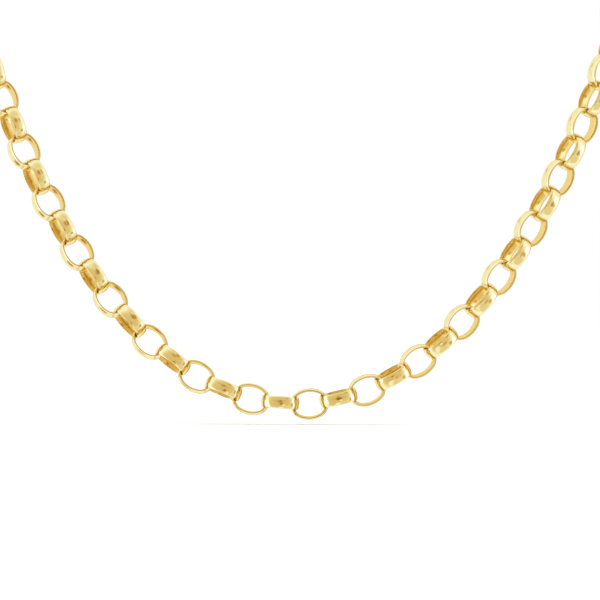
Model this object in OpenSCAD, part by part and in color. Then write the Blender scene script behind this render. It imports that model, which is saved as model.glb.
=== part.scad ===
// Rolo chain necklace: oval links of half-round gold wire, worn round a neck and closed by a
// plain bolt ring at the nape. Millimetres. +Z is up, the front of the necklace faces -Y, and the
// origin is the middle of the neck opening, level with the shoulders that the chain lies on.

/* [Link] */
// Outer length of one oval link
link_len = 6.9; // [6.7:0.02:7.1]
// Outer width of one oval link
link_wid = 5.66; // [5.5:0.02:5.9]
// Outer radius of a link's two round ends
end_r = 2.68; // [2.6:0.01:2.72]
// Thickness of the half-round wire at its crown
wire_t = 0.58; // [0.54:0.01:0.6]
// Width of the wire, across the band
band_w = 2.24; // [2.1:0.02:2.3]
// How far the domed outer face falls from its crown to the rim
outer_fall = 0.33; // [0.31:0.01:0.34]
// Width of the flat that stands for the crown of the outer face
crown_w = 0.9; // [0.6:0.02:1.1]
// Width of the flat that stands for the crown of the inner face
inner_w = 0.48; // [0.3:0.02:0.6]
// Clear gap left between two links that pass through each other
link_gap = 0.21; // [0.2:0.01:0.24]

/* [Necklace] */
// Links from the lowest point of the front to the clasp, on each side
links_per_side = 42; // [38:1:46]
// Radius of the hanging curve at its lowest point
sag_r = 32.6; // [30:0.2:36]
// Length of each side that hangs freely in front, before it turns back over the shoulder
front_len = 86; // [80:1:92]
// Angle at which the hanging front leans back from upright
lean = 9; // [4:1:14]

/* [Neck] */
// How far the lowest link hangs in front of the middle of the neck
neck_front = 48; // [44:1:52]
// How far the nape lies behind the middle of the neck
neck_back = 49; // [44:1:52]
// How far the lowest link hangs below the shoulders
front_drop = 94; // [88:1:98]
// How far the nape lies above the shoulders
nape_rise = 7; // [3:1:10]

/* [Clasp] */
// Clear gap between the clasp and the two links that it holds
clasp_gap = 0.24; // [0.2:0.01:0.3]
// Radius of the bolt ring to the middle of its wire
ring_r = 3.6; // [3.3:0.05:4]
// Radius of the bolt ring's wire
ring_wire_r = 0.7; // [0.6:0.05:0.8]
// Radius of the fixed eye to the middle of its wire
eye_r = 2.5; // [2.3:0.05:2.8]
// Radius of the eye's wire
eye_wire_r = 0.5; // [0.4:0.05:0.6]
// Radius of the thumb stud on the bolt ring
stud_r = 0.5; // [0.4:0.05:0.6]
// Height of the thumb stud above the ring's wire
stud_len = 0.9; // [0.6:0.05:1.2]

/* [Hidden] */
$fn = 48;
gold = [0.86, 0.68, 0.32];

// The turn of the links about the chain's own line, in degrees, by the share of one side's
// length: -1 is the left end at the clasp, 0 the lowest point and 1 the right end.
TURN = [
    [-1, -32], [-0.34, -35], [-0.19, -27], [-0.1, -15], [0, 0],
    [0.1, 14], [0.19, 21], [0.34, 29], [1, 60]
];
// How far the shoulder stretch runs straight on from the front, and from the nape, before it bends
shoulder_pull = 55;
nape_pull = 63;
// Number of short steps in which the shoulder stretch is measured
route_steps = 120;

half_band = band_w / 2;
inner_fall = wire_t - outer_fall;
end_in_r = end_r - wire_t;
end_x = link_len / 2 - end_r;
side_r = (end_x * end_x + link_wid * link_wid / 4 - end_r * end_r) / (link_wid - 2 * end_r);
side_y = side_r - link_wid / 2;
end_angle = atan2(side_y, end_x);
end_facets = 4;
side_facets = 2;
end_step = 2 * end_angle / end_facets;
side_step = (180 - 2 * end_angle) / side_facets;

// Play between a link pulled taut and a round wall of radius r that it passes through: the rims of
// its band stay a gap inside the radius that the wall leaves clear
function play(r, clear_r, gap) =
    max(gap, r - inner_fall - sqrt(pow(clear_r - gap, 2) - half_band * half_band));
link_play = play(end_in_r, end_in_r * cos(end_step / 2), link_gap);
pitch = link_len - 2 * wire_t - link_play;
// Half the distance between the centres of two round ends that hold each other
seat_r = end_in_r - link_play / 2;

ring_in_r = ring_r - ring_wire_r;
eye_in_r = eye_r - eye_wire_r;
ring_seat = play(ring_in_r, ring_in_r, clasp_gap) - link_play / 2;
eye_seat = play(eye_in_r, eye_in_r, clasp_gap) - link_play / 2;
ring_to_eye = ring_r + eye_r + eye_wire_r;
clasp_reach = ring_in_r - ring_seat + ring_to_eye + eye_in_r - eye_seat;

function unit(v) = v / norm(v);
function flat_to(v, axis) = unit(v - (v * axis) * axis);
function mirror_x(v) = [-v.x, v.y, v.z];
function turned(v, axis, angle) = v * cos(angle) + cross(axis, v) * sin(angle);
function arsinh(v) = ln(v + sqrt(v * v + 1));

// The front: a hanging curve by its own length s, in a plane that leans back
function front_rise(s) = sqrt(sag_r * sag_r + s * s) - sag_r;
function front_point(s) = [
    sag_r * arsinh(s / sag_r),
    front_rise(s) * sin(lean) - neck_front,
    front_rise(s) * cos(lean) - front_drop
];
front_slope = atan(front_len / sag_r);
front_way = [cos(front_slope), sin(front_slope) * sin(lean), sin(front_slope) * cos(lean)];

// The shoulder stretch: one smooth bend from the end of the front to the nape
nape_point = [0, neck_back, nape_rise];
shoulder_bend = [
    front_point(front_len),
    front_point(front_len) + shoulder_pull * front_way,
    nape_point + [nape_pull, 0, 0],
    nape_point
];
function bend_point(p, t) = pow(1 - t, 3) * p[0] + 3 * pow(1 - t, 2) * t * p[1]
    + 3 * (1 - t) * t * t * p[2] + pow(t, 3) * p[3];
SHOULDER = [for (i = [0 : route_steps]) bend_point(shoulder_bend, i / route_steps)];
function run_lengths(i, run) = i > route_steps ? []
    : let (now = i == 0 ? 0 : run + norm(SHOULDER[i] - SHOULDER[i - 1]))
        concat([now], run_lengths(i + 1, now));
RUN = run_lengths(0, 0);
SHOULDER_X = [for (i = [0 : route_steps]) [RUN[i], SHOULDER[i].x]];
SHOULDER_Y = [for (i = [0 : route_steps]) [RUN[i], SHOULDER[i].y]];
SHOULDER_Z = [for (i = [0 : route_steps]) [RUN[i], SHOULDER[i].z]];

// The whole side of the loop, drawn to the length that its links and half the clasp have
side_len = links_per_side * pitch + clasp_reach / 2;
drawn = side_len / (front_len + RUN[route_steps]);
function side_point(s) = s < front_len ? front_point(s)
    : [for (axis = [SHOULDER_X, SHOULDER_Y, SHOULDER_Z]) lookup(s - front_len, axis)];
function loop_point(s) = s < 0 ? mirror_x(loop_point(-s)) : drawn * side_point(s / drawn);

// Joints between the links, counted from the lowest point; link i runs from joint i to i + 1
JOINTS = [for (i = [0 : links_per_side]) loop_point(i * pitch)];
function joint(i) = i < 0 ? mirror_x(JOINTS[-i]) : JOINTS[i];
function way(i) = unit(joint(i + 1) - joint(i));
// The direction that lies away from the body, carried along the chain without a twist
function carry(v, i) = i == links_per_side ? []
    : let (now = flat_to(v, way(i))) concat([now], carry(now, i + 1));
AWAY = carry([0, -1, 0], 0);
function away(i) = i < 0 ? mirror_x(AWAY[-1 - i]) : AWAY[i];
// The axis of each link's hole: every other link is turned by a quarter
function quarter(i) = i % 2 == 0 ? 0 : 90;
function face(i) = turned(away(i), way(i), lookup((i + 0.5) / links_per_side, TURN) + quarter(i));
// The line between the centres of the two round ends that hold each other at joint i
function hold(i) = abs(i) == links_per_side ? way(i > 0 ? i - 1 : i)
    : let (line = unit(cross(face(i - 1), face(i)))) (line * way(i) > 0 ? line : -line);
function link_centre(i) = (joint(i) + joint(i + 1)) / 2 - (hold(i + 1) - hold(i)) * seat_r / 2;

clasp_way = unit(joint(-links_per_side) - joint(links_per_side));
clasp_face = unit(cross(clasp_way, face(links_per_side - 1)));

// Places its child with its x axis along the chain and its z axis along a hole
module at(point, along, up) {
    side = cross(up, along);
    multmatrix([
        [along.x, side.x, up.x, point.x],
        [along.y, side.y, up.y, point.y],
        [along.z, side.z, up.z, point.z],
        [0, 0, 0, 1]
    ]) children();
}

// One link as a closed ring of wire sections. Each station is the centre of its arc, the arc's
// outer radius and the angle on it; round ends have end_facets facets and sides side_facets.
STATIONS = concat(
    [for (k = [0 : end_facets - 1]) [end_x, 0, end_r, -end_angle + k * end_step]],
    [for (k = [0 : side_facets - 1]) [0, -side_y, side_r, end_angle + k * side_step]],
    [for (k = [0 : end_facets - 1]) [-end_x, 0, end_r, 180 - end_angle + k * end_step]],
    [for (k = [0 : side_facets - 1]) [0, side_y, side_r, 180 + end_angle + k * side_step]]
);
// The wire's section, domed outside and less so inside: how far each corner lies inside the outer
// crown, and its place on the band
WIRE = [
    [0, crown_w / 2],
    [outer_fall, half_band],
    [wire_t, inner_w / 2],
    [wire_t, -inner_w / 2],
    [outer_fall, -half_band],
    [0, -crown_w / 2]
];
LINK_POINTS = [
    for (s = STATIONS) for (w = WIRE)
        [s[0] + (s[2] - w[0]) * cos(s[3]), s[1] + (s[2] - w[0]) * sin(s[3]), w[1]]
];
stations = len(STATIONS);
corners = len(WIRE);
link_faces = [
    for (i = [0 : stations - 1]) for (j = [0 : corners - 1])
        let (ni = (i + 1) % stations, nj = (j + 1) % corners)
            [i * corners + j, i * corners + nj, ni * corners + nj, ni * corners + j]
];
function placed(p, origin, along, side, up) = origin + p.x * along + p.y * side + p.z * up;
function link_points(i) =
    let (along = way(i), up = flat_to(face(i), along), middle = link_centre(i))
        [for (p = LINK_POINTS) placed(p, middle, along, cross(up, along), up)];

module chain() {
    color(gold)
    polyhedron(
        points = [for (i = [-links_per_side : links_per_side - 1]) each link_points(i)],
        faces = [
            for (i = [0 : 2 * links_per_side - 1]) for (f = link_faces)
                [for (v = f) v + i * len(LINK_POINTS)]
        ]
    );
}

module wire_ring(r, wire_r) {
    rotate_extrude() translate([r, 0]) circle(r = wire_r);
}

module clasp() {
    ring_x = ring_in_r - ring_seat;
    color(gold)
    at(joint(links_per_side), clasp_way, clasp_face) {
        translate([ring_x, 0, 0]) wire_ring(ring_r, ring_wire_r);
        translate([ring_x + ring_to_eye, 0, 0]) wire_ring(eye_r, eye_wire_r);
        translate([ring_x, ring_r, 0]) rotate([-90, 0, 0]) cylinder(r = stud_r, h = ring_wire_r + stud_len);
    }
}

chain();
clasp();
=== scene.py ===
import math

import bpy
from mathutils import Matrix, Vector


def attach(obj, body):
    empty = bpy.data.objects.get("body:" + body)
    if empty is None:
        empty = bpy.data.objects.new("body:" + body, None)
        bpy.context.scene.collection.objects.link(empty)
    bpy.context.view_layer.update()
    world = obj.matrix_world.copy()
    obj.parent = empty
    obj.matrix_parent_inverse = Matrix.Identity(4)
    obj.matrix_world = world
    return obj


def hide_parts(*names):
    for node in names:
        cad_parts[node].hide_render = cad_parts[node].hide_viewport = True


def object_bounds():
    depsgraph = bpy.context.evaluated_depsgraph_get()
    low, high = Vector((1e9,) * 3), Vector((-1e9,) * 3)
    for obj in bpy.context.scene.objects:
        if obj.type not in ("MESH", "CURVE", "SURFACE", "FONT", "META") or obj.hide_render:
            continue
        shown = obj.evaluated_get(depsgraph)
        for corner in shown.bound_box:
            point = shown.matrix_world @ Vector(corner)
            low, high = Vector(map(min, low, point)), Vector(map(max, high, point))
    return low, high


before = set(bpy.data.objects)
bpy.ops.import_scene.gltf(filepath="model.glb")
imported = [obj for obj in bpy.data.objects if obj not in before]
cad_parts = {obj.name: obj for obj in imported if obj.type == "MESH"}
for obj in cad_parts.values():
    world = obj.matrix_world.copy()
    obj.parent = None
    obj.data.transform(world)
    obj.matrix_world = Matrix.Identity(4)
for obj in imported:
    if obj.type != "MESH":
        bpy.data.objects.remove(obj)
cad_low, cad_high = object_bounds()

# Lengths are in millimetres up to the finished meshes, which are in metres
MM = 0.001
WELD = 0.001  # points closer than this are one

# The link
LINK_LEN = 6.9
LINK_WID = 5.66
END_R = 2.68
WIRE_T = 0.58  # the wire of the frame's links, which the spacing follows
RIM_FALL = 0.33
BAND_W = 2.24
LINK_GAP = 0.21
CLASP_GAP = 0.24
END_FACETS = 4  # the frame's facets on a round end

# The smooth half-round wire: a low dome with rounder shoulders, flat rims and a low dome inside
CROWN_T = 0.66
DOME_SLOPE = 10  # degrees at the dome's edge, where the shoulder starts
SHOULDER_SLOPE = 40  # degrees at the rim
SHOULDER_R = 0.85
INNER_FALL = 0.22
CORNER_R = 0.035
CORNER_STEPS = 3
DOME_STEPS = 8
SHOULDER_STEPS = 5
INNER_STEPS = 8
STEPS_PER_TURN = 76  # sections of the wire in a full turn of the link

# The necklace and the way that it takes round the neck
LINKS_PER_SIDE = 42
SAG_R = 32.6
FRONT_LEN = 86
LEAN = 9  # degrees
NECK_FRONT = 48
NECK_BACK = 49
FRONT_DROP = 94
NAPE_RISE = 7
SHOULDER_PULL = 55
NAPE_PULL = 63
ROUTE_STEPS = 120
# The turn of the links about the chain's own line in degrees, by the share of one side's length
TURN = (
    (-1, -32), (-0.34, -35), (-0.19, -27), (-0.1, -15), (0, 0),
    (0.1, 14), (0.19, 21), (0.34, 29), (1, 60),
)
# The stretches in which the links are joined, all round from the clasp
STRETCHES = (
    "left_nape", "left_shoulder", "left_front", "right_front", "right_shoulder", "right_nape",
)

# The clasp
RING_R = 3.6
RING_WIRE_R = 0.7
EYE_R = 2.5
EYE_WIRE_R = 0.5
STUD_R = 0.5
STUD_LEN = 0.9
BOLT_R = 0.48  # the sliding bolt, where it shows between the two ends of the tube
BOLT_FROM = 112  # degrees round the ring from the eye
BOLT_TO = 156
BOLT_LAP = 6  # degrees that each end of the bolt goes into the tube
SOLDER = (0.66, 1.15, 0.62)  # half the length, width and height of the drop
SOLDER_OUT = 0.42  # the drop's middle, outside the middle of the ring's wire
TUBE_SIDES = 32
TUBE_STEP = 4  # degrees from one section of a bent tube to the next
EDGE_ROUND = 0.12
EDGE_STEPS = 4
SHARP = 50  # degrees, past which an edge is rounded

# The camera: nearly level, in front of the lowest link and a little to the right of it
CAMERA_REACH = 800
CAMERA_ASIDE = 27.4
CAMERA_RISE = 18
CAMERA_PITCH = 0.0019  # radians, as the next two are
CAMERA_YAW = 0.0331
CAMERA_ROLL = 0.0025
CAMERA_NEAR = 10
CAMERA_FAR = 20000
SEEN_WIDTH = 107.75  # at the lowest link
SENSOR = 36

# The floor and its lamp
FLOOR_SIZE = 8000
FLOOR_GAP = 0.8
LAMP_TILT = 20  # degrees from straight above, to the back
LAMP_WIDTH = 110  # degrees
LAMP_LIGHT = 0.68
ROOM_SHARE = 0.5  # the white room's light on the floor, beside the lamp's

half_band = BAND_W / 2
end_in_r = END_R - WIRE_T
end_x = LINK_LEN / 2 - END_R
side_r = (end_x**2 + LINK_WID**2 / 4 - END_R**2) / (LINK_WID - 2 * END_R)
side_y = side_r - LINK_WID / 2
end_angle = math.atan2(side_y, end_x)


def play(r, clear_r, gap):
    """How far a taut link hangs clear of a round wall of radius r that it passes through."""
    return max(gap, r - (WIRE_T - RIM_FALL) - math.sqrt((clear_r - gap) ** 2 - half_band**2))


link_play = play(end_in_r, end_in_r * math.cos(end_angle / END_FACETS), LINK_GAP)
pitch = LINK_LEN - 2 * WIRE_T - link_play
seat_r = end_in_r - link_play / 2
ring_in_r = RING_R - RING_WIRE_R
eye_in_r = EYE_R - EYE_WIRE_R
ring_seat = play(ring_in_r, ring_in_r, CLASP_GAP) - link_play / 2
eye_seat = play(eye_in_r, eye_in_r, CLASP_GAP) - link_play / 2
ring_to_eye = RING_R + EYE_R + EYE_WIRE_R
clasp_reach = ring_in_r - ring_seat + ring_to_eye + eye_in_r - eye_seat


def table_value(rows, key):
    """The value of a table of (key, value) rows at a key, straight between its rows."""
    if key <= rows[0][0]:
        return rows[0][1]
    for (k0, v0), (k1, v1) in zip(rows, rows[1:]):
        if key <= k1:
            return v0 + (v1 - v0) * (key - k0) / (k1 - k0)
    return rows[-1][1]


def front_point(s):
    """The front: a hanging curve by its own length s, in a plane that leans back."""
    rise = math.hypot(SAG_R, s) - SAG_R
    lean = math.radians(LEAN)
    across = SAG_R * math.asinh(s / SAG_R)
    return Vector((across, rise * math.sin(lean) - NECK_FRONT, rise * math.cos(lean) - FRONT_DROP))


def shoulder_rows():
    """The shoulder stretch: one smooth bend from the front's end to the nape, by its length."""
    slope, lean = math.atan(FRONT_LEN / SAG_R), math.radians(LEAN)
    rise = math.sin(slope)
    onward = Vector((math.cos(slope), rise * math.sin(lean), rise * math.cos(lean)))
    start, nape = front_point(FRONT_LEN), Vector((0, NECK_BACK, NAPE_RISE))
    pulls = (start, start + SHOULDER_PULL * onward, nape + Vector((NAPE_PULL, 0, 0)), nape)
    rows, run, last = [], 0, start
    for i in range(ROUTE_STEPS + 1):
        t = i / ROUTE_STEPS
        shares = ((1 - t) ** 3, 3 * (1 - t) ** 2 * t, 3 * (1 - t) * t * t, t**3)
        point = sum((p * share for p, share in zip(pulls, shares)), Vector())
        run += (point - last).length
        rows.append((run, point))
        last = point
    return rows


SHOULDER = shoulder_rows()
side_len = LINKS_PER_SIDE * pitch + clasp_reach / 2
# The route is drawn to the length that one side's links and half the clasp have
route_scale = side_len / (FRONT_LEN + SHOULDER[-1][0])


def mirrored(v):
    """The same place or direction on the other side of the body."""
    return Vector((-v.x, v.y, v.z))


def joint(i):
    """The joint between links i - 1 and i, counted from the lowest point to each side."""
    s = abs(i) * pitch / route_scale
    point = front_point(s) if s < FRONT_LEN else table_value(SHOULDER, s - FRONT_LEN)
    return route_scale * (mirrored(point) if i < 0 else point)


def way(i):
    """The direction of link i, from its own joint to the next."""
    return (joint(i + 1) - joint(i)).normalized()


def flat_to(v, axis):
    """The direction of what is left of v when its share along the axis is taken off."""
    return (v - v.dot(axis) * axis).normalized()


def away_list():
    """The direction away from the body at each link of the right side, without a twist."""
    found = [flat_to(Vector((0, -1, 0)), way(0))]
    for i in range(1, LINKS_PER_SIDE):
        found.append(flat_to(found[-1], way(i)))
    return found


AWAY = away_list()


def face(i):
    """The axis of link i's hole: every other link is turned by a quarter."""
    away = mirrored(AWAY[-1 - i]) if i < 0 else AWAY[i]
    degrees = table_value(TURN, (i + 0.5) / LINKS_PER_SIDE) + (90 if i % 2 else 0)
    angle = math.radians(degrees)
    return away * math.cos(angle) + way(i).cross(away) * math.sin(angle)


def hold(i):
    """The line between the centres of the two round ends that hold each other at joint i."""
    if abs(i) == LINKS_PER_SIDE:
        return way(i - 1 if i > 0 else i)
    line = face(i - 1).cross(face(i)).normalized()
    return line if line.dot(way(i)) > 0 else -line


def link_centre(i):
    """The middle of link i, held by both its neighbours."""
    return (joint(i) + joint(i + 1)) / 2 - (hold(i + 1) - hold(i)) * seat_r / 2


def placing(along, up, origin):
    """The matrix that sets x along the chain and z along a hole, with its origin in metres."""
    side = up.cross(along)
    turn = Matrix((along, side, up)).transposed().to_4x4()
    return Matrix.Translation(origin * MM) @ turn


class Flow:
    """A socket of a node tree. Arithmetic on it adds Math nodes, and add() any other node."""

    def __init__(self, tree, socket=None):
        self.tree = tree
        self.socket = socket

    def add(self, kind, settings=(), sockets=(), out=0):
        """Adds a node, sets it, fills its sockets with values or links, and returns an output."""
        node = self.tree.nodes.new(kind)
        for name, value in dict(settings).items():
            setattr(node, name, value)
        for name, value in dict(sockets).items():
            if isinstance(value, Flow):
                self.tree.links.new(value.socket, node.inputs[name])
            else:
                node.inputs[name].default_value = value
        return Flow(self.tree, node.outputs[out]) if node.outputs else None

    def maths(self, operation, first, second=0.0):
        """A Math node's result, from values or links."""
        return self.add("ShaderNodeMath", {"operation": operation}, {0: first, 1: second})

    def vector_maths(self, operation, sockets, out=0):
        """A Vector Math node's result, from values or links."""
        return self.add("ShaderNodeVectorMath", {"operation": operation}, sockets, out)

    def noise(self, vector, scale, detail):
        """Noise from 0 to 1."""
        sockets = {"Vector": vector, "Scale": scale, "Detail": detail}
        return self.add("ShaderNodeTexNoise", sockets=sockets)

    def blend(self, share, first, second):
        """The first colour with a share of the second."""
        sockets = {"Factor": share, "A": first, "B": second}
        return self.add("ShaderNodeMix", {"data_type": "RGBA"}, sockets, out="Result")

    def smooth(self, low, high, to_low=0.0, to_high=1.0):
        """This value eased from low..high to to_low..to_high."""
        ends = {"From Min": low, "From Max": high, "To Min": to_low, "To Max": to_high}
        settings = {"interpolation_type": "SMOOTHSTEP"}
        return self.add("ShaderNodeMapRange", settings, {"Value": self, **ends})

    def through(self, rows):
        """The value of a table of (key, value) rows at this key, straight between its rows."""
        value = rows[0][1]
        for (k0, v0), (k1, v1) in zip(rows, rows[1:]):
            ends = {"From Min": k0, "From Max": k1, "To Min": 0, "To Max": v1 - v0}
            value = self.add("ShaderNodeMapRange", sockets={"Value": self, **ends}) + value
        return value

    def angle_to(self, towards):
        """The angle in degrees between this way and a fixed one."""
        unit = Vector(towards).normalized()
        near = self.vector_maths("DOT_PRODUCT", {0: self, 1: unit}, out="Value")
        return self.maths("ARCCOSINE", near) * math.degrees(1)

    def __add__(self, other):
        return self.maths("ADD", self, other)

    def __radd__(self, other):
        return self.maths("ADD", other, self)

    def __sub__(self, other):
        return self.maths("SUBTRACT", self, other)

    def __rsub__(self, other):
        return self.maths("SUBTRACT", other, self)

    def __mul__(self, other):
        return self.maths("MULTIPLY", self, other)

    def __rmul__(self, other):
        return self.maths("MULTIPLY", other, self)

    def __abs__(self):
        return self.maths("ABSOLUTE", self)


def new_tree(owner):
    """An empty node tree of a material or world, as the Flow that adds its nodes."""
    owner.use_nodes = True
    owner.node_tree.nodes.clear()
    return Flow(owner.node_tree)


# The gold's colours, with the painted shade and dark reflections laid on it
OUTSIDE = (0.92, 0.78, 0.38, 1)
# the inner face's colour is darker and warmer partly as painted shade in the hollow
INSIDE = (0.86, 0.62, 0.19, 1)
PAINTED_SHADE_BROWN = (0.74, 0.5, 0.15, 1)  # painted shade in the seats and beside the neighbours' rims, and the wavy line beside the seam
# painted dark reflection along the rims
RIM = (0.72, 0.49, 0.14, 1)
SEAM_AND_SHADE_BROWN = (0.6, 0.36, 0.1, 1)  # the soldered seam with its painted dark reflection, and painted shade along both sides of the inner face
EDGE_TINT = (0.97, 0.9, 0.66, 1)  # of the metal seen at a glance

# Where the marks lie on a link. A turn is in half turns from one round end, so that 0.5 is the
# middle of a side, and a band is the place across the wire from one rim, -1, to the other, 1.
# A depth is 0 on the crown of the dome and 1 on that of the inner face.
SEAM_TURN = 0.49
SEAM_BAND = -0.14
SEAM_FADE = (14, 4.4)  # how fast it fades by the turn and by the band
WAVY_LINE_BAND = -0.22  # the wavy line beside the seam
CONTACT_SHADE_TURN = 0.33  # the painted shade lines, to each side of the middle of a side

# How fine each unevenness of the metal is, by the metre
GRAIN = 5200
SEAM_EDGE = 2600
RIPPLE = 1300
WAVY_LINE_WAVE = 900
HAZE = 700
DENT = 420
STREAK_APART = 120
STREAK_RUN = (5, 9, 4)  # by the turn, the band and the depth
RELIEF = 0.00007  # metres, the height of the bump where it is full


def gold_relief(net, spot, place, fine, seam):
    """Bump of soft dents and long faint streaks of the polishing, the sunk seam and the grain."""
    run = net.vector_maths("MULTIPLY", {0: place, 1: STREAK_RUN})
    apart = net.vector_maths("SCALE", {0: spot, "Scale": STREAK_APART})
    streaks = net.noise(net.vector_maths("ADD", {0: run, 1: apart}), 1, 3)
    dents = net.noise(spot, DENT, 1) * 0.5 + net.noise(spot, RIPPLE, 1) * 0.35 - seam * 0.25
    height = dents + streaks * 0.12 + fine
    sockets = {"Strength": 0.6, "Distance": RELIEF, "Height": height}
    return net.add("ShaderNodeBump", sockets=sockets)


def polished_gold():
    """Polished yellow gold: pale on the dome, warm and finely grained inside the links, the warmth
    partly painted shade in the hollows; painted shade also on the inner face's sides and at the
    joints, and painted dark reflections on the rims and the seam.
    """
    material = bpy.data.materials.new("polished_gold")
    net = new_tree(material)
    spot = net.add("ShaderNodeTexCoord", out="Object")
    place = net.add("ShaderNodeAttribute", {"attribute_name": "on_wire"}, out="Vector")
    turn, band, depth = (
        net.add("ShaderNodeSeparateXYZ", sockets={0: place}, out=axis) for axis in "XYZ"
    )
    inside = depth.smooth(0.66, 0.7)
    outside = 1 - depth.smooth(0.3, 0.4)
    grain = net.noise(spot, GRAIN, 2)
    # The inner face, in grain: its darker, warmer colour is partly painted shade in the hollow
    colour = net.blend(inside * grain.smooth(0.3, 0.62, 0.7, 1.0), OUTSIDE, INSIDE)
    # Painted shade along both sides of the inner face, and a painted dark reflection on the rims
    colour = net.blend(inside * abs(band).smooth(0.66, 0.95) * 0.55, colour, SEAM_AND_SHADE_BROWN)
    colour = net.blend(abs(band).smooth(0.975, 0.99) * 0.55, colour, RIM)
    # Painted shade in the seats of both round ends, where the neighbours hold; the seats are also
    # a little rougher
    from_side = abs(abs(turn) - 0.5)
    seat = from_side.smooth(0.26, 0.4) * depth.smooth(0.3, 0.6)
    colour = net.blend(seat * 0.75, colour, PAINTED_SHADE_BROWN)
    # The small sunk mark of the soldered seam, on the middle of one side; its dark colour is
    # partly a painted reflection
    from_seam = abs(turn - SEAM_TURN)
    beside, above = from_seam * SEAM_FADE[0], abs(band - SEAM_BAND) * SEAM_FADE[1]
    uneven = net.noise(spot, SEAM_EDGE, 2) * 0.9
    seam = (1 - (beside * beside + above * above + uneven).smooth(0.6, 1.5)) * outside
    colour = net.blend(seam * 0.75, colour, SEAM_AND_SHADE_BROWN)
    # A darker wavy line beside the seam
    from_line = abs(band - WAVY_LINE_BAND + (net.noise(spot, WAVY_LINE_WAVE, 1) - 0.5) * 0.5)
    line = (1 - from_line.smooth(0.02, 0.12)) * (1 - from_seam.smooth(0.1, 0.2))
    colour = net.blend(line * outside * 0.45, colour, PAINTED_SHADE_BROWN)
    # Painted shade: a dark line on each side of both ends, beside the neighbour's rim
    contact_shade = 1 - abs(from_side - CONTACT_SHADE_TURN).smooth(0.008, 0.03)
    colour = net.blend(contact_shade * (1 - depth.smooth(0.4, 0.55)) * 0.75, colour, PAINTED_SHADE_BROWN)
    shader = net.add(
        "ShaderNodeBsdfPrincipled",
        sockets={
            "Base Color": colour,
            "Metallic": 1.0,
            "Roughness": inside * 0.07 + seat * 0.05 + net.noise(spot, HAZE, 2) * 0.05 + 0.03,
            "Specular Tint": EDGE_TINT,
            "Normal": gold_relief(net, spot, place, grain * (inside * 0.25 + 0.01), seam),
        },
    )
    net.add("ShaderNodeOutputMaterial", sockets={"Surface": shader})
    return material


def active():
    """The object that the last operator added or left active."""
    return bpy.context.view_layer.objects.active


def deselect():
    """Leaves no object selected."""
    bpy.ops.object.select_all(action="DESELECT")


def choose(objects):
    """Selects these objects alone, the first of them active."""
    deselect()
    for one in objects:
        one.select_set(True)
    bpy.context.view_layer.objects.active = objects[0]


def pick(mesh, wanted):
    """Selects the mesh's vertices that wanted says, in edit mode."""
    bpy.ops.mesh.select_all(action="DESELECT")
    bpy.ops.object.mode_set(mode="OBJECT")
    for v in mesh.vertices:
        v.select = wanted(v.co)
    bpy.ops.object.mode_set(mode="EDIT")


def weld():
    """Merges the points of the mesh that coincide, in edit mode, and leaves all selected."""
    bpy.ops.mesh.select_all(action="SELECT")
    bpy.ops.mesh.remove_doubles(threshold=WELD * MM)


def finish_spin():
    """Welds a spun mesh, turns its faces outwards and leaves edit mode."""
    weld()
    bpy.ops.mesh.normals_make_consistent(inside=False)
    bpy.ops.object.mode_set(mode="OBJECT")


def draw_section(link):
    """Draws the wire's section from one point, in the end plane: dome, rim, inner face and rim."""
    crown = LINK_LEN / 2
    dome, shoulder = math.radians(DOME_SLOPE), math.radians(SHOULDER_SLOPE)
    dome_r = (half_band - SHOULDER_R * (math.sin(shoulder) - math.sin(dome))) / math.sin(dome)
    shoulder_x = crown - dome_r + (dome_r - SHOULDER_R) * math.cos(dome)
    shoulder_z = (dome_r - SHOULDER_R) * math.sin(dome)
    rim_x = shoulder_x + SHOULDER_R * math.cos(shoulder)
    inner_x = crown - CROWN_T + INNER_FALL
    inner_r = (half_band**2 + INNER_FALL**2) / (2 * INNER_FALL)
    inner_angle = 2 * math.asin(half_band / inner_r)
    # The arcs of the section: centre, angle and steps, and the flat rim that follows
    arcs = (
        (shoulder_x, shoulder_z, shoulder - dome, SHOULDER_STEPS, 0),
        (crown - dome_r, 0, 2 * dome, DOME_STEPS, 0),
        (shoulder_x, -shoulder_z, shoulder - dome, SHOULDER_STEPS, inner_x - rim_x),
        (crown - CROWN_T + inner_r, 0, inner_angle, INNER_STEPS, rim_x - inner_x),
    )
    bpy.ops.mesh.merge(type="CENTER")
    bpy.ops.transform.translate(value=(rim_x * MM, 0, half_band * MM))
    for x, z, angle, steps, rim in arcs:
        bpy.ops.mesh.spin(steps=steps, angle=angle, center=(x * MM, 0, z * MM), axis=(0, -1, 0))
        if rim:
            bpy.ops.mesh.extrude_region_move(TRANSFORM_OT_translate={"value": (rim * MM, 0, 0)})
    weld()
    pick(link.data, lambda co: abs(co.z) > (half_band - WELD) * MM)
    bpy.ops.mesh.bevel(affect="VERTICES", offset=CORNER_R * MM, segments=CORNER_STEPS)


def add_link():
    """One oval link: the wire's section, spun round the link's two round ends and two sides."""
    deselect()
    bpy.ops.mesh.primitive_plane_add(size=MM)
    link = active()
    link.name = "link"
    bpy.ops.object.mode_set(mode="EDIT")
    bpy.ops.mesh.select_mode(type="VERT")
    draw_section(link)
    bpy.ops.mesh.select_all(action="SELECT")
    side_angle = math.pi - 2 * end_angle
    arcs = (
        (end_x, 0, end_angle),
        (0, -side_y, side_angle),
        (-end_x, 0, 2 * end_angle),
        (0, side_y, side_angle),
        (end_x, 0, end_angle),
    )
    for x, y, angle in arcs:
        steps = max(2, round(STEPS_PER_TURN * angle / (2 * math.pi)))
        bpy.ops.mesh.spin(steps=steps, angle=angle, center=(x * MM, y * MM, 0), axis=(0, 0, -1))
    finish_spin()
    bpy.ops.object.shade_smooth()
    mark_wire(link.data)
    return link


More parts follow.
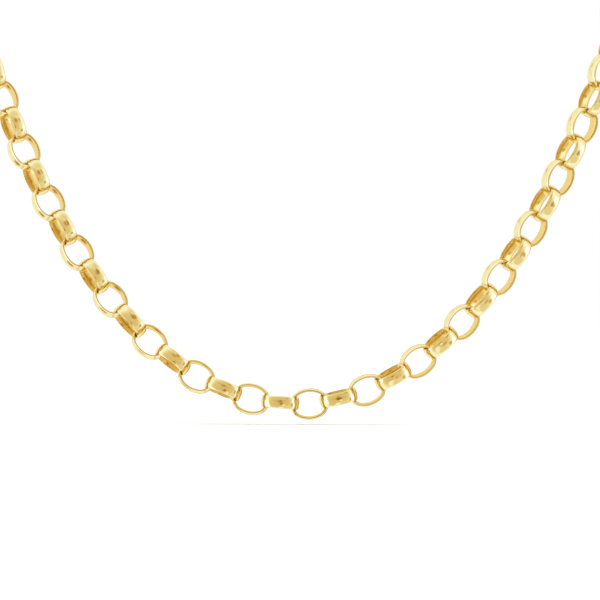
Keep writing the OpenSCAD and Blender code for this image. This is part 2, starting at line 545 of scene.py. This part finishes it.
def mark_wire(mesh):
    """Keeps on each point its turn round the link, its place on the band and its depth."""
    places = []
    for v in mesh.vertices:
        x, y, z = v.co / MM
        if abs(x) > end_x + abs(y) * end_x / side_y:
            depth = END_R - math.hypot(abs(x) - end_x, y)
        else:
            depth = side_r - math.hypot(x, abs(y) + side_y)
        places += (math.atan2(y, x) / math.pi, z / half_band, depth / CROWN_T)
    mesh.attributes.new("on_wire", "FLOAT_VECTOR", "POINT").data.foreach_set("vector", places)


def link_copy(pattern, i):
    """A copy of the link with its own mesh, at its place in the chain."""
    along = way(i)
    copy = pattern.copy()
    copy.data = pattern.data.copy()
    copy.data.transform(placing(along, flat_to(face(i), along), link_centre(i)))
    bpy.context.collection.objects.link(copy)
    return copy


def add_chain(material):
    """The chain's links, joined in stretches of fourteen."""
    pattern = add_link()
    pattern.data.materials.append(material)
    links_each = 2 * LINKS_PER_SIDE // len(STRETCHES)
    for k, name in enumerate(STRETCHES):
        first = k * links_each - LINKS_PER_SIDE
        choose([link_copy(pattern, i) for i in range(first, first + links_each)])
        bpy.ops.object.join()
        stretch = active()
        stretch.name = "links_" + name
        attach(stretch, "root")
        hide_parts("chain")
    bpy.data.objects.remove(pattern)


def add_tube(name, radius, wire_r, first, turn):
    """A round wire bent to an arc about z, in millimetres and degrees. A full turn closes it."""
    deselect()
    bpy.ops.mesh.primitive_circle_add(
        vertices=TUBE_SIDES,
        radius=wire_r * MM,
        fill_type="NOTHING" if turn == 360 else "NGON",
        location=(radius * MM, 0, 0),
        rotation=(math.pi / 2, 0, 0),
    )
    tube = active()
    tube.name = name
    bpy.ops.object.transform_apply(location=True, rotation=True)
    bpy.ops.object.mode_set(mode="EDIT")
    bpy.ops.mesh.select_all(action="SELECT")
    steps = round(turn / TUBE_STEP)
    bpy.ops.mesh.spin(steps=steps, angle=math.radians(turn), center=(0, 0, 0), axis=(0, 0, 1))
    finish_spin()
    tube.data.transform(Matrix.Rotation(math.radians(first), 4, "Z"))
    return tube


def add_stud():
    """The thumb stud that stands on the bolt ring's tube."""
    deselect()
    length = RING_WIRE_R + STUD_LEN
    bpy.ops.mesh.primitive_cylinder_add(
        vertices=TUBE_SIDES,
        radius=STUD_R * MM,
        depth=length * MM,
        location=(0, (RING_R + length / 2) * MM, 0),
        rotation=(-math.pi / 2, 0, 0),
    )
    stud = active()
    stud.name = "stud"
    bpy.ops.object.transform_apply(location=True, rotation=True)
    return stud


def add_solder():
    """The drop of solder that joins the eye to the ring."""
    deselect()
    bpy.ops.mesh.primitive_uv_sphere_add(
        segments=TUBE_SIDES,
        ring_count=TUBE_SIDES // 2,
        location=((RING_R + SOLDER_OUT) * MM, 0, 0),
    )
    drop = active()
    drop.name = "solder"
    drop.scale = [half * MM for half in SOLDER]
    bpy.ops.object.transform_apply(location=True, scale=True)
    return drop


def round_edges(piece):
    """Rounds the sharp edges of a piece of the clasp."""
    choose([piece])
    bevel = piece.modifiers.new("bevel", "BEVEL")
    bevel.width = EDGE_ROUND * MM
    bevel.segments = EDGE_STEPS
    bevel.limit_method = "ANGLE"
    bevel.angle_limit = math.radians(SHARP)
    bpy.ops.object.modifier_apply(modifier="bevel")
    bpy.ops.object.shade_smooth()


def add_clasp(material):
    """The bolt ring with its eye, closed, where the CAD has it: one soldered piece."""
    pieces = [
        add_tube("tube", RING_R, RING_WIRE_R, BOLT_TO, 360 - BOLT_TO + BOLT_FROM),
        add_tube("bolt", RING_R, BOLT_R, BOLT_FROM - BOLT_LAP, BOLT_TO - BOLT_FROM + 2 * BOLT_LAP),
        add_stud(),
        add_solder(),
    ]
    eye = add_tube("eye", EYE_R, EYE_WIRE_R, 0, 360)
    eye.data.transform(Matrix.Translation((ring_to_eye * MM, 0, 0)))
    for piece in pieces + [eye]:
        round_edges(piece)
    choose([eye] + pieces)
    bpy.ops.object.join()
    eye.name = "bolt_ring"
    eye.data.materials.append(material)
    along = (joint(-LINKS_PER_SIDE) - joint(LINKS_PER_SIDE)).normalized()
    up = along.cross(face(LINKS_PER_SIDE - 1)).normalized()
    middle = joint(LINKS_PER_SIDE) + along * (ring_in_r - ring_seat)
    eye.data.transform(placing(along, up, middle))
    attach(eye, "root")
    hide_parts("clasp")


# The light that the metal sees all round it, by the angle in degrees from the way to the viewer
ROOM_LIGHT = (
    (0, 0.68), (20, 0.70), (40, 0.73), (50, 0.78), (60, 0.90), (70, 0.98), (80, 1.02),
    (100, 0.95), (118, 0.94), (148, 0.97), (163, 0.75), (180, 0.62),
)
# Soft-edged cards in it: the way to the middle, the angles at which it is full and gone, its light
CARDS = (
    ((1, -0.1, 0.02), 12, 20, 1.16),
    ((-0.95, -0.3, 0), 12, 22, 1.08),
    ((-0.84, -0.45, -0.3), 9, 17, 1.2),
    ((0.1, -0.75, -0.65), 13, 19, 0.96),
    ((0.56, -0.6, -0.57), 20, 30, 0.8),
    ((0.3, -0.3, 0.9), 4, 30, 0.8),
    ((0.84, -0.48, -0.25), 8, 17, 0.87),
    ((0.25, -0.94, -0.22), 4, 8, 0.95),
    ((0.08, -0.99, -0.06), 3, 12, 0.4),
    ((0.48, -0.68, 0.55), 4, 15, 0.5),
    ((0.88, -0.44, -0.19), 4, 13, 0.6),
    ((-0.66, 0.34, -0.66), 7, 18, 0.48),
    ((0.5, 0.86, -0.05), 14, 36, 0.62),
    ((0.1, 0.97, -0.1), 3, 14, 0.42),
)
TO_VIEWER = (0, -1, 0)
# Each colour of the full light, and the power by which it falls where the light is low
LIGHT_COLOURS = (("Red", 1.065, 1), ("Green", 1.165, 1.73), ("Blue", 1.44, 3.6))
WHITE = (1, 1, 1, 1)


def warmed(light):
    """The colour of a light of this level: white where it is full, and browner as it falls."""
    levels = {
        name: light.maths("POWER", light, power) * full for name, full, power in LIGHT_COLOURS
    }
    return light.add("ShaderNodeCombineColor", sockets=levels)


def studio_world():
    """White to the camera, and to the metal a soft studio: bright all round, dimmer ahead."""
    world = bpy.data.worlds.new("studio")
    bpy.context.scene.world = world
    net = new_tree(world)
    ray = net.add("ShaderNodeTexCoord", out="Generated")
    light = ray.angle_to(TO_VIEWER).through(ROOM_LIGHT)
    for towards, full, gone, level in CARDS:
        covered = 1 - ray.angle_to(towards).smooth(full, gone)
        light = light + covered * (level - light)
    studio = net.add("ShaderNodeBackground", sockets={"Color": warmed(light)})
    camera_ray = net.add("ShaderNodeLightPath", out="Is Camera Ray")
    strength = camera_ray * (1 - ROOM_SHARE) + ROOM_SHARE
    plain = net.add("ShaderNodeBackground", sockets={"Color": WHITE, "Strength": strength})
    reflected = net.add("ShaderNodeLightPath", out="Is Glossy Ray")
    mixed = net.add("ShaderNodeMixShader", sockets={0: reflected, 1: plain, 2: studio})
    net.add("ShaderNodeOutputWorld", sockets={"Surface": mixed})


def pale_floor():
    """A plain matt white, which the metal sees through to the studio."""
    material = bpy.data.materials.new("pale_floor")
    net = new_tree(material)
    matt = {"Base Color": WHITE, "Roughness": 0.9, "Specular IOR Level": 0.0}
    white = net.add("ShaderNodeBsdfPrincipled", sockets=matt)
    clear = net.add("ShaderNodeBsdfTransparent")
    seen = net.add("ShaderNodeLightPath", out="Is Glossy Ray")
    mixed = net.add("ShaderNodeMixShader", sockets={0: seen, 1: white, 2: clear})
    net.add("ShaderNodeOutputMaterial", sockets={"Surface": mixed})
    return material


def add_floor():
    """The pale plain floor, just under the lowest link."""
    deselect()
    height = cad_low.z - FLOOR_GAP * MM
    bpy.ops.mesh.primitive_plane_add(size=FLOOR_SIZE * MM, location=(0, 0, height))
    floor = active()
    floor.name = "floor"
    bpy.ops.object.transform_apply(location=True)
    floor.data.materials.append(pale_floor())


def add_lamp():
    """A wide soft lamp above and behind, for the floor: the metal sees the studio instead."""
    light = bpy.data.lights.new("soft_lamp", "SUN")
    light.angle = math.radians(LAMP_WIDTH)
    light.energy = LAMP_LIGHT * math.pi
    lamp = bpy.data.objects.new("soft_lamp", light)
    lamp.rotation_euler = (math.radians(-LAMP_TILT), 0, 0)
    lamp.visible_glossy = False
    bpy.context.collection.objects.link(lamp)


def add_camera():
    """A level camera in front of the lowest link, with the small roll that the picture has."""
    data = bpy.data.cameras.new("camera")
    data.sensor_width = SENSOR
    data.lens = SENSOR * CAMERA_REACH / SEEN_WIDTH
    data.clip_start, data.clip_end = CAMERA_NEAR * MM, CAMERA_FAR * MM
    camera = bpy.data.objects.new("camera", data)
    place = (CAMERA_ASIDE, -NECK_FRONT - CAMERA_REACH, CAMERA_RISE - FRONT_DROP)
    camera.location = Vector(place) * MM
    turned = Matrix.Rotation(CAMERA_YAW, 4, "Z")
    tilted = turned @ Matrix.Rotation(math.pi / 2 + CAMERA_PITCH, 4, "X")
    camera.rotation_euler = (tilted @ Matrix.Rotation(CAMERA_ROLL, 4, "Z")).to_euler()
    bpy.context.collection.objects.link(camera)
    bpy.context.scene.camera = camera


add_camera()
gold = polished_gold()
add_chain(gold)
add_clasp(gold)
studio_world()
add_floor()
add_lamp()
bpy.context.scene.view_settings.view_transform = "Standard"
